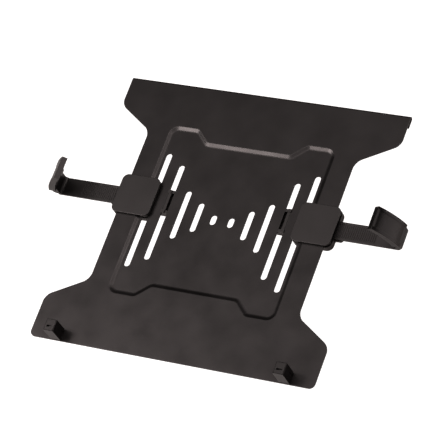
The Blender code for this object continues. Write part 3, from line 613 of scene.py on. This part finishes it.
panel_rim = open_up(tray, floor_face)
slot_rims = []
for x, length in SLOTS:
    for side in SIDES.values():
        corners = rectangle(side * x - SLOT_HALF, side * x + SLOT_HALF, -length / 2, length / 2,
                            SLOT_HALF - HAIR)
        slot_rims.append(open_up(tray, draw_outline(tray, corners, SHEET, END_STEPS)))
fill_between(tray, panel_rim, *slot_rims)
hole_rims = [edges_of(ring(tray, (side * STOP_X, STOP_SCREW_Y), RIM_TOP, SCREW_HOLE))
             for side in SIDES.values()]
fill_between(tray, blank_rim, press_rim, *hole_rims)
print("slots", len(slot_rims), "faces", len(tray.faces))

# %% [markdown]
# ## The folded rear edge
#
# The rear edge is folded back under the tray, which stiffens it and leaves no sharp edge at
# the hand.  A tube laid along the edge would look stuck on.  Spinning the edge itself half
# a turn about the fold's axis and extruding the lip keeps it one sheet.

# %% Fold the rear edge
HEM_RADIUS = 2.25
HEM_FLAT = 8.75
FOLD_STEPS = 14
NEAR = 0.01    # closer than this to a line counts as on it

rear = [edge for edge in blank_rim if all(abs(v.co.y - HEM_Y) < NEAR for v in edge.verts)]
fold = bmesh.ops.spin(tray, geom=rear + list(rear[0].verts),
                      cent=(0, HEM_Y, RIM_TOP - HEM_RADIUS), axis=(1, 0, 0), dvec=(0, 0, 0),
                      angle=-math.pi, steps=FOLD_STEPS)["geom_last"]
lip = [item for item in fold if isinstance(item, bmesh.types.BMEdge)]
made = bmesh.ops.extrude_edge_only(tray, edges=lip)["geom"]
bmesh.ops.translate(tray, vec=(0, -HEM_FLAT, 0), verts=verts_in(made))
tray_piece = finished(tray, "tray_sheet", powder_black, "tray", ["tray_plate"], edge=0.22,
                      sheet=SHEET)
print("tray sheet", [round(v, 4) for v in tray_piece.dimensions])

# %% [markdown]
# ## The front stops
#
# Each stop is a small moulded post, screwed on from below.  A slit from below frees a
# springy leg at its rear, and its top has a fine groove all round and a shallow sunk bar.
# The post could be a block with pieces cut away.  Drawing its side view and extruding it
# across gives the slit at once.  Insets of the top face, down and up again, make the
# groove; the bar is one more inset, squeezed and pushed down.

# %% Mould the stops
STOP_HEIGHT, STOP_DEPTH, STOP_WIDTH = 18.6, 11.8, 10.2
STOP_FRONT, STOP_FOOT = -144.5, 3.3
SLIT_FRONT, SLIT_REAR = 7.6, 8.4
SLIT_HEIGHT = 8.0
SLIT_FOOT_RADIUS, SLIT_TOP_RADIUS = 0.3, 0.2
SLIT_MARGIN = 0.5
LEG_LIFT = 0.9
STOP_EDGE = 0.55
CORNER_ANGLE = 1.2    # sharper edges than this, in radians, are rounded
TOP_INSETS = ((0.2, 0.0), (0.25, -0.35), (0.2, 0.35), (1.25, 0.0))    # width and rise
BAR_SQUEEZE = (0.95, 0.24, 1)
BAR_Y = 4.25
BAR_DRAFT, BAR_DEPTH = 0.05, 2.4


def in_slit(edge):
    """Whether an edge lies in the slit, where rounding would close it."""
    return all(SLIT_FRONT - SLIT_MARGIN < vert.co.y < SLIT_REAR + SLIT_MARGIN
               and vert.co.z < SLIT_HEIGHT + SLIT_MARGIN for vert in edge.verts)


def front_stop(hand, side):
    """One post, drawn from the side and extruded across."""
    post = bmesh.new()
    side_view = draw_outline(post, [
        (0, 0, 0), (SLIT_FRONT, 0, SLIT_FOOT_RADIUS), (SLIT_FRONT, SLIT_HEIGHT, SLIT_TOP_RADIUS),
        (SLIT_REAR, SLIT_HEIGHT, SLIT_TOP_RADIUS), (SLIT_REAR, LEG_LIFT, SLIT_FOOT_RADIUS),
        (STOP_DEPTH, LEG_LIFT, 0), (STOP_DEPTH, STOP_HEIGHT, 0), (0, STOP_HEIGHT, 0)], steps=3)
    pull(post, [side_view], (0, 0, STOP_WIDTH))
    bmesh.ops.rotate(post, matrix=Matrix.Rotation(math.pi / 2, 3, "Z") @
                     Matrix.Rotation(math.pi / 2, 3, "X"), verts=post.verts)
    bmesh.ops.translate(post, vec=(-STOP_WIDTH / 2, 0, 0), verts=post.verts)
    bmesh.ops.recalc_face_normals(post, faces=post.faces)
    round_edges(post, [edge for edge in post.edges if edge.calc_face_angle(0) > CORNER_ANGLE
                       and not in_slit(edge)], STOP_EDGE)
    top = max(post.faces, key=lambda face: face.calc_center_median().z)
    for width, rise in TOP_INSETS:
        bmesh.ops.inset_region(post, faces=[top], thickness=width, depth=rise,
                               use_even_offset=True)
    level = top.calc_center_median().z
    bmesh.ops.scale(post, vec=BAR_SQUEEZE, verts=top.verts,
                    space=Matrix.Translation((0, -BAR_Y, -level)))
    bmesh.ops.inset_region(post, faces=[top], thickness=BAR_DRAFT, depth=-BAR_DEPTH,
                           use_even_offset=True)
    return finished(post, hand + "_stop_post", smooth_black, "tray", [hand + "_stop"], edge=0.0,
                    side=side, place=(side * STOP_X, STOP_FRONT, STOP_FOOT))


for hand, side in SIDES.items():
    post = front_stop(hand, side)
    print(post.name, [round(v, 4) for v in post.dimensions])

# %% [markdown]
# ## The clamp covers
#
# A cover is the flat cap above the rim.  Its upper plate overhangs like eaves, which puts a
# dark line all round it.  Below are a foot that fills the recess, and four bosses for the
# screws.  The side walls could be a shape of their own.  Extruding the rounded outline,
# insetting its lower face and extruding that gives plate and walls in one piece.

# %% Mould the covers
CLAMP_Y = 10.9
CLAMP_INNER, CLAMP_OUTER = 72.7, 112.7
CLAMP_HALF_LENGTH = 20.0
CLAMP_RADIUS = 6.0
COVER_BOTTOM, COVER_EAVES, COVER_TOP = 3.3, 4.6, 5.8
COVER_EDGE = 0.55
EAVES_DEPTH = 1.1
FOOT_INNER, FOOT_OUTER = 73.4, 81.7
FOOT_HALF, FOOT_RADIUS = 19.3, 5
FOOT_BOTTOM = 1.8
FOOT_SINK, BOSS_SINK = 0.2, 0.3    # how far foot and bosses reach into the plate
SCREWS = ((77.0, -14.5), (77.0, 14.5), (109.7, -14.5), (109.7, 14.5))
BOSS_RADIUS, BORE_RADIUS = 2.2, 1.6
BORE_TOP = 4.3
INNER_BOSS_END, OUTER_BOSS_END = 0.0, 1.5


def boss(bm, place, low, high):
    """A round post with a blind screw hole in its lower end."""
    cap = ring(bm, place, high, BOSS_RADIUS, cap=True)[0].link_faces[0]
    end = pull(bm, [cap], (0, 0, low - high))[0]
    bmesh.ops.inset_region(bm, faces=[end], thickness=BOSS_RADIUS - BORE_RADIUS,
                           use_even_offset=True)
    pull(bm, [end], (0, 0, BORE_TOP - low))


def clamp_cover(hand, side):
    """The cap, its foot and its bosses."""
    cover = bmesh.new()
    top = slab(cover, rectangle(CLAMP_INNER, CLAMP_OUTER, -CLAMP_HALF_LENGTH, CLAMP_HALF_LENGTH,
                                CLAMP_RADIUS), COVER_EAVES, COVER_TOP)
    base = min(cover.faces, key=lambda face: face.calc_center_median().z)
    bmesh.ops.inset_region(cover, faces=[base], thickness=EAVES_DEPTH, use_even_offset=True)
    pull(cover, [base], (0, 0, COVER_BOTTOM - COVER_EAVES))
    round_edges(cover, top.edges, COVER_EDGE)
    slab(cover, [(FOOT_INNER, -FOOT_HALF, FOOT_RADIUS), (FOOT_OUTER, -FOOT_HALF, 0),
                 (FOOT_OUTER, FOOT_HALF, 0), (FOOT_INNER, FOOT_HALF, FOOT_RADIUS)],
         FOOT_BOTTOM, COVER_BOTTOM + FOOT_SINK)
    for x, y in SCREWS:
        low = INNER_BOSS_END if x < FOOT_OUTER else OUTER_BOSS_END
        boss(cover, (x, y), low, COVER_BOTTOM + BOSS_SINK)
    return finished(cover, hand + "_cover_cap", moulded_black, hand + "_clamp",
                    [hand + "_clamp_cover"], edge=0.2, side=side, place=(0, CLAMP_Y, 0))


for hand, side in SIDES.items():
    cover = clamp_cover(hand, side)
    print(cover.name, [round(v, 4) for v in cover.dimensions])

# %% [markdown]
# ## The straps
#
# Each strap is a flat bar whose top carries fine ribs, so that the clamp can hold it at
# any of many places.  The last stretch beside the jaw is smooth.  Thin boxes laid on the
# bar would look glued on, so the grooves between the ribs are drawn as slots in the top
# face and each one is inset downwards.

# %% Mould the straps
STRAP_HALF = 9.0
STRAP_INNER, STRAP_OUTER = 63.8, 177.3
STRAP_BOTTOM, STRAP_TOP = -2.4, -0.6
STRAP_RADIUS = 3.0
RIB_PITCH = 2.0
GROOVE, GROOVE_HALF = 1.05, 7.0
GROOVE_RADIUS = 0.3
GROOVE_DRAFT, GROOVE_DEPTH = 0.3, 0.4
FIRST_GROOVE, LAST_GROOVE = 70.5, 152.3
PIN_X, PIN_RADIUS, PIN_DEPTH = 66.8, 1.5, 0.9


def arm_strap(hand, side):
    """The ribbed bar, with the seat of its stop pin."""
    strap = bmesh.new()
    outline = rectangle(STRAP_INNER, STRAP_OUTER, -STRAP_HALF, STRAP_HALF, STRAP_RADIUS)
    rim = open_up(strap, slab(strap, outline, STRAP_BOTTOM, STRAP_TOP, 6))
    grooves = []
    x = FIRST_GROOVE
    while x + GROOVE < LAST_GROOVE:
        corners = rectangle(x, x + GROOVE, -GROOVE_HALF, GROOVE_HALF, GROOVE_RADIUS)
        grooves.append(draw_outline(strap, corners, STRAP_TOP, 2))
        x += RIB_PITCH
    pin_rim = edges_of(ring(strap, (PIN_X, 0), STRAP_TOP, PIN_RADIUS, segments=20))
    fill_between(strap, rim, pin_rim, *[list(groove.edges) for groove in grooves])
    for groove in grooves:
        groove.normal_update()
        if groove.normal.z < 0:
            groove.normal_flip()
        bmesh.ops.inset_region(strap, faces=[groove], thickness=GROOVE_DRAFT,
                               depth=-GROOVE_DEPTH, use_even_offset=True, use_boundary=True)
    seat = verts_in(bmesh.ops.extrude_edge_only(strap, edges=pin_rim)["geom"])
    bmesh.ops.translate(strap, vec=(0, 0, -PIN_DEPTH), verts=seat)
    bmesh.ops.contextual_create(strap, geom=seat)
    print(len(grooves), "grooves")
    return finished(strap, hand + "_strap_bar", moulded_black, hand + "_arm",
                    [hand + "_arm_strap"], edge=0.12, side=side, place=(0, CLAMP_Y, 0))


for hand, side in SIDES.items():
    strap = arm_strap(hand, side)
    print(strap.name, [round(v, 4) for v in strap.dimensions])

# %% [markdown]
# ## The jaws' side view
#
# A jaw is a leaning hook: seen from the front of the tray it is a curved wall that rises
# from the strap's end and bends over the laptop's side.  A sharp-cornered side view would
# need many points for its two shallow arcs.  One corner halfway along each arc, rounded
# with a very large radius by the same bevel as before, bends the wall.

# %% Draw the hook
NECK_TOP = 9.2
NECK_OUTER = Vector((180.5, 9.2))
NECK_INNER = Vector((173.5, 7.7))
TIP_OUTER = Vector((162.1, 38.5))
TIP_INNER = Vector((157.42, 36.01))
FOOT = -0.3
TOE_X, TOE_HEIGHT = 170.9, 0.4
HEEL_RADIUS, INSTEP_RADIUS = 5.0, 2.4
ARC_CORNER = 4.45
ARC_SHARE = 0.84    # a full share would let the arc use up the straight edges beside it
ARC_STEPS = 12


def arc_radius(start, apex, end, share):
    """The radius that rounds the corner at the apex over a share of its edges."""
    return share * (apex - start).length / math.tan((apex - start).angle(end - apex) / 2)


def bulge(start, end):
    """The corner whose rounding gives a shallow arc from start to end, bent outwards."""
    along = end - start
    apex = start + along / 2 + Vector((-along.y, along.x)).normalized() * ARC_CORNER
    return (*apex, arc_radius(start, apex, end, ARC_SHARE))


def hook_view(bm):
    """The jaw seen from the front, as (x, z)."""
    return draw_outline(bm, [
        (*TIP_OUTER, 0), bulge(TIP_OUTER, NECK_OUTER), (*NECK_OUTER, 0),
        (NECK_OUTER.x, FOOT, HEEL_RADIUS), (TOE_X, FOOT, 0), (TOE_X, FOOT + TOE_HEIGHT, 0),
        (NECK_INNER.x, FOOT + TOE_HEIGHT, INSTEP_RADIUS), (*NECK_INNER, 0),
        bulge(TIP_INNER, NECK_INNER), (*TIP_INNER, 0)], steps=ARC_STEPS)


print("outer arc", round((TIP_OUTER - NECK_OUTER).length, 1), "mm across")

# %% [markdown]
# ## The pocket and the dish
#
# On its gripping side a jaw has a pocket for the liner, and on its outer side a shallow
# dish inside a thin rim.  Booleans with curved cutters would be needed, since both follow
# the arc.  Planes that run an edge all round the hook mark the pocket instead, and its
# faces are pulled in.  For the dish, two insets of the outer faces are enough.

# %% Pocket and dish helpers
PAD_FROM, PAD_TO = 0.12, 0.72    # shares of the gripping side, from the tip
POCKET_HALF, POCKET = 9.3, 1.1
RIM_WIDTH, DISH_SLOPE, DISH_DEPTH = 0.8, 0.8, 0.35
DISH_ABOVE = 0.9                 # how far above the neck the dished faces begin
DISH_FACING, DISH_LEAST = 0.93, 20
SEAT_FACING = 0.8


def cut_across(bm, place, facing):
    """Run an edge all round the piece where a plane meets it."""
    bmesh.ops.bisect_plane(bm, geom=bm.verts[:] + bm.edges[:] + bm.faces[:], dist=0.0001,
                           plane_co=place, plane_no=facing)


def sink_pocket(hook):
    """Push the middle of the gripping face in, to seat the liner."""
    grip = (NECK_INNER - TIP_INNER).normalized()
    inward = Vector((-grip.y, grip.x))
    for y in (-POCKET_HALF, POCKET_HALF):
        cut_across(hook, (0, y, 0), (0, 1, 0))
    for share in (PAD_FROM, PAD_TO):
        place = TIP_INNER.lerp(NECK_INNER, share)
        cut_across(hook, (place.x, 0, place.y), (grip.x, 0, grip.y))
    first, last = (TIP_INNER.lerp(NECK_INNER, share).dot(grip) for share in (PAD_FROM, PAD_TO))
    seat = []
    for face in hook.faces:
        middle, facing = face.calc_center_median(), face.normal
        if (abs(middle.y) < POCKET_HALF and first < middle.x * grip.x + middle.z * grip.y < last
                and facing.x * inward.x + facing.z * inward.y < -SEAT_FACING):
            seat.append(face)
    pull(hook, seat, (inward.x * POCKET, 0, inward.y * POCKET))
    print(len(seat), "faces in the pocket")


def dish_outside(hook):
    """Leave a rim round the outer face and sink the face inside it."""
    lean = (NECK_OUTER - TIP_OUTER).normalized()
    outward = Vector((-lean.y, lean.x))
    outer = [face for face in hook.faces
             if face.calc_center_median().z > NECK_TOP + DISH_ABOVE
             and face.normal.x * outward.x + face.normal.z * outward.y > DISH_FACING
             and face.calc_area() > DISH_LEAST]
    bmesh.ops.inset_region(hook, faces=outer, thickness=RIM_WIDTH, use_even_offset=True)
    bmesh.ops.inset_region(hook, faces=outer, thickness=DISH_SLOPE, depth=-DISH_DEPTH,
                           use_even_offset=True)
    print(len(outer), "faces in the dish")


print("pocket", 2 * POCKET_HALF, "mm wide and", POCKET, "mm deep")

# %% [markdown]
# ## The jaws
#
# The wall of a jaw is wider than its neck, which has to stand on the strap.  Two blocks
# could be joined.  Here the side view is extruded to the width of the neck, and only the
# upper part of each end is pulled out further, which keeps the whole jaw one shape.

# %% Mould the jaws
JAW_HALF, NECK_HALF = 11.5, 9.0
JAW_EDGE = 0.8
SIDEWAYS = 0.9    # faces whose normals point across by more than this are ends


def stand_up(bm, half_width):
    """Turn an extruded side view upright, with its middle at y = 0."""
    bmesh.ops.rotate(bm, matrix=Matrix.Rotation(math.pi / 2, 3, "X"), verts=bm.verts)
    bmesh.ops.translate(bm, vec=(0, half_width, 0), verts=bm.verts)


def jaw_hook(hand, side):
    """The hook, with a pocket for the soft liner."""
    hook = bmesh.new()
    pull(hook, [hook_view(hook)], (0, 0, 2 * NECK_HALF))
    stand_up(hook, NECK_HALF)
    cut_across(hook, (0, 0, NECK_TOP), (0, 0, 1))
    bmesh.ops.recalc_face_normals(hook, faces=hook.faces)
    for end in (-1, 1):
        wall = [face for face in hook.faces if face.normal.y * end > SIDEWAYS
                and face.calc_center_median().z > NECK_TOP]
        pull(hook, wall, (0, end * (JAW_HALF - NECK_HALF), 0))
    dish_outside(hook)
    sink_pocket(hook)
    return finished(hook, hand + "_jaw_hook", smooth_black, hand + "_arm", [hand + "_jaw"],
                    edge=JAW_EDGE, side=side, place=(0, CLAMP_Y, 0), segments=4)


for hand, side in SIDES.items():
    hook = jaw_hook(hand, side)
    print(hook.name, [round(v, 4) for v in hook.dimensions])

# %% [markdown]
# ## The jaw liners
#
# The liner is a soft strip in the pocket, standing 0.6 mm proud so that only rubber
# touches the laptop.  A copy of the pocket's floor could be thickened, but it would carry
# the jaw's cuts along.  It follows the same arc as the wall, so it is drawn the same way:
# two arcs, one behind the other, and an extrusion across.

# %% Cut the liners
PAD_HALF = 9.0
PAD_PROUD, PAD_DEPTH = 0.6, 0.8
PAD_PLAY = 0.012       # the share of the gripping side that stays free at each end
LINER_RISE = 2.1       # the wall's arc stands this far off its chord
LINER_SHARE = 0.95


def jaw_liner(hand, side):
    """A strip that follows the gripping face between its two ends."""
    grip = (NECK_INNER - TIP_INNER).normalized()
    inward = Vector((-grip.y, grip.x))
    liner = bmesh.new()
    ends = [TIP_INNER.lerp(NECK_INNER, share)
            for share in (PAD_FROM + PAD_PLAY, PAD_TO - PAD_PLAY)]
    rise = inward * LINER_RISE
    middle = (PAD_FROM + PAD_TO) / 2
    sag = [rise * 4 * share * (1 - share) for share in (PAD_FROM, middle, PAD_TO)]
    apex = (ends[0] + ends[1]) / 2 + sag[1] * 2 - (sag[0] + sag[2]) / 2
    start, end = ends[0] + sag[0], ends[1] + sag[2]
    radius = arc_radius(start, apex, end, LINER_SHARE)
    low, high = -inward * PAD_PROUD, inward * PAD_DEPTH
    strip = draw_outline(liner, [
        (*(start + low), 0), (*(apex + low), radius), (*(end + low), 0),
        (*(end + high), 0), (*(apex + high), radius), (*(start + high), 0)], steps=ARC_STEPS)
    pull(liner, [strip], (0, 0, 2 * PAD_HALF))
    stand_up(liner, PAD_HALF)
    return finished(liner, hand + "_jaw_liner", soft_rubber, hand + "_arm", [hand + "_jaw_pad"],
                    edge=0.3, side=side, place=(0, CLAMP_Y, 0), segments=3)


for hand, side in SIDES.items():
    liner = jaw_liner(hand, side)
    print(liner.name, [round(v, 4) for v in liner.dimensions])

# %% [markdown]
# ## Turned screws
#
# The clamps, jaws and stops are held from below by small pan-head screws with a cross
# recess.  A screw could be stacked from cylinders.  It is round, so a few vertices of its
# half-profile are spun about its axis.  The recess is a plus sign cut from a
# three-by-three grid, bridged to the rim of the head and pushed in.

# %% Screw helpers
HEAD_PROFILE = ((0.80, 0.0), (0.95, 0.16), (1.0, 0.5), (1.0, 1.0))    # shares of the head
POINT = 0.45            # the tip's share of the shank's radius
RECESS = 0.52           # the cross's share of the head's radius
ARM = 0.5               # the share of the cross that one arm is wide
RECESS_DEPTH = 0.7
RECESS_TAPER = 0.6
SPIN_STEPS = 28
LEVEL = 0.001           # closer than this to a height counts as level


def turned(bm, profile):
    """Spin (radius, z) points about the upright axis; the ends stay open rims."""
    verts = [bm.verts.new((radius, 0, z)) for radius, z in profile]
    edges = [bm.edges.new(pair) for pair in zip(verts, verts[1:])]
    bmesh.ops.spin(bm, geom=verts + edges, cent=(0, 0, 0), axis=(0, 0, 1), dvec=(0, 0, 0),
                   angle=2 * math.pi, steps=SPIN_STEPS, use_merge=True)
    bmesh.ops.remove_doubles(bm, verts=bm.verts, dist=LEVEL / 2)


def rim_at(bm, z):
    """The open edges at one level."""
    return [edge for edge in bm.edges if edge.is_boundary
            and all(abs(vert.co.z - z) < LEVEL for vert in edge.verts)]


def cross_at(bm, z, reach):
    """A flat plus sign, as five squares of a grid with their arms made narrower."""
    cells = bmesh.ops.create_grid(bm, x_segments=3, y_segments=3, size=reach)["verts"]
    bmesh.ops.translate(bm, vec=(0, 0, z), verts=cells)
    corners = [vert for vert in cells if len(vert.link_faces) == 1]
    bmesh.ops.delete(bm, geom=corners, context="VERTS")
    plus = [face for face in bm.faces if abs(face.calc_center_median().z - z) < LEVEL / 10]
    for vert in each_once(vert for face in plus for vert in face.verts):
        for axis in (0, 1):
            if abs(vert.co[axis]) < reach * ARM:
                vert.co[axis] *= ARM
    return plus


print("screw helpers ready")

# %% [markdown]
# ## Placing the screws
#
# Each clamp has four screws, each jaw two and each stop one.  One screw mesh could be
# copied to every place, with its object moved there.  The kinds differ in size, and every
# piece here keeps its place in its mesh, so each screw is turned where it belongs.

# %% Turn the screws
CLAMP_SCREW = (1.3, 2.4, 1.2, -4.95, 4.8)    # shank, head, head's height, lowest, tip
JAW_SCREW = (0.8, 1.3, 0.7, STRAP_BOTTOM, 4.7)
STOP_SCREW = (1.5, 2.75, 1.6, -0.4, 12.3)
JAW_SCREW_X, JAW_SCREW_Y = 175.2, 5.5


def screw(name, kind, x, y, body):
    """A pan-head screw that points up, with a cross recess in its head."""
    shank, head, height, low, tip = kind
    bm = bmesh.new()
    turned(bm, [(head * out, low + height * up) for out, up in HEAD_PROFILE] +
           [(shank, low + height), (shank, tip - shank), (shank * POINT, tip)])
    bmesh.ops.contextual_create(bm, geom=rim_at(bm, tip))
    plus = cross_at(bm, low, head * RECESS)
    bmesh.ops.bridge_loops(bm, edges=rim_at(bm, low))
    recess = pull(bm, plus, (0, 0, height * RECESS_DEPTH))
    bmesh.ops.scale(bm, vec=(RECESS_TAPER, RECESS_TAPER, 1),
                    verts=each_once(vert for face in recess for vert in face.verts))
    return finished(bm, name.replace("screw", "pan_screw"), black_zinc, body, [name], edge=0.0,
                    side=SIDES[name.split("_")[0]], place=(x, y, 0))


for hand, side in SIDES.items():
    for number, (x, y) in enumerate(SCREWS, 1):
        screw(f"{hand}_clamp_screw_{number}", CLAMP_SCREW, side * x, CLAMP_Y + y, hand + "_clamp")
    for number, y in enumerate((-JAW_SCREW_Y, JAW_SCREW_Y), 1):
        screw(f"{hand}_jaw_screw_{number}", JAW_SCREW, side * JAW_SCREW_X, CLAMP_Y + y,
              hand + "_arm")
    screw(hand + "_stop_screw", STOP_SCREW, side * STOP_X, STOP_SCREW_Y, "tray")

# %% [markdown]
# ## The open key
#
# The housing has a key that fills a slot of the tray, and seen through the slot the key is
# hollow on its inboard side, between two narrow hooks.  The whole housing could be drawn
# again for that.  It is quicker to cut the engineering shape: three planes mark the part
# that is open, the faces in it go, and the walls they leave are closed.

# %% Key helper
KEY_CUT = 60.1                        # the middle of the key, measured outwards
KEY_FRONT, KEY_REAR = 1.75, 20.05     # the inner ends of the two hooks
KEY_EDGE = 57.35                      # just within the key's inboard wall
HOOK_LOW, HOOK_HIGH = 1.4, 1.6        # just under and just over the panel's top
KEY_FLOOR = -0.2                      # everything lower stays whole


def open_key(bm, side):
    """Cut the inboard half of the key away between its two hooks."""
    for vert in bm.verts:
        inboard, z = side * vert.co.x, vert.co.z
        if inboard < KEY_CUT and (z > HOOK_HIGH or (z > HOOK_LOW and inboard > KEY_EDGE)):
            vert.co.x = side * KEY_CUT
    cut_across(bm, (side * KEY_CUT, 0, 0), (1, 0, 0))
    for y in (KEY_FRONT, KEY_REAR):
        cut_across(bm, (0, y, 0), (0, 1, 0))
    gone = []
    for face in bm.faces:
        x, y, z = face.calc_center_median()
        if side * x < KEY_CUT - NEAR and KEY_FRONT < y < KEY_REAR and z > KEY_FLOOR:
            gone.append(face)
    bmesh.ops.delete(bm, geom=gone, context="FACES")
    rim = each_once(vert for edge in bm.edges if edge.is_boundary for vert in edge.verts)
    print(len(gone), "faces cut away,", len(rim), "corners left")
    for axis, place in ((0, side * KEY_CUT), (1, KEY_FRONT), (1, KEY_REAR)):
        bmesh.ops.contextual_create(bm, geom=[vert for vert in rim
                                              if abs(vert.co[axis] - place) < NEAR])


print("key helper ready")

# %% [markdown]
# ## The hidden mouldings
#
# The housing and the lid under the sheet, the leaf spring and the stop pin already have
# their true form in the engineering model, and drawing them again would add nothing.  Its
# meshes are loose triangles, though, which can't be rounded.  A copy is merged and its
# flat triangles are dissolved into whole faces; then the same soft edges go on as for the
# drawn pieces.

# %% Round the housing, lid, spring and pin
FLAT_ANGLE = math.radians(2)
SAME_POINT = 0.000002


def rounded_copy(node, name, finish, body, edge):
    """A merged copy of an engineering piece, with its edges softened."""
    bm = bmesh.new()
    bm.from_mesh(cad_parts[node].data)
    bmesh.ops.remove_doubles(bm, verts=bm.verts, dist=SAME_POINT)
    bmesh.ops.dissolve_limit(bm, angle_limit=FLAT_ANGLE, use_dissolve_boundaries=False,
                             verts=bm.verts, edges=bm.edges)
    bmesh.ops.scale(bm, vec=(1000, 1000, 1000), verts=bm.verts)
    if "housing" in node:
        open_key(bm, SIDES[node.split("_")[0]])
    return finished(bm, name, finish, body, [node], edge=edge)


for hand in SIDES:
    clamp = hand + "_clamp"
    rounded_copy(hand + "_clamp_housing", hand + "_housing_body", moulded_black, clamp, 0.2)
    rounded_copy(hand + "_clamp_lid", hand + "_lid_plate", moulded_black, clamp, 0.15)
    rounded_copy(hand + "_detent_spring", hand + "_leaf_spring", spring_strip, clamp, 0.08)
    rounded_copy(hand + "_strap_pin", hand + "_stop_pin", black_zinc, hand + "_arm", 0.2)
print("rounded copies ready")
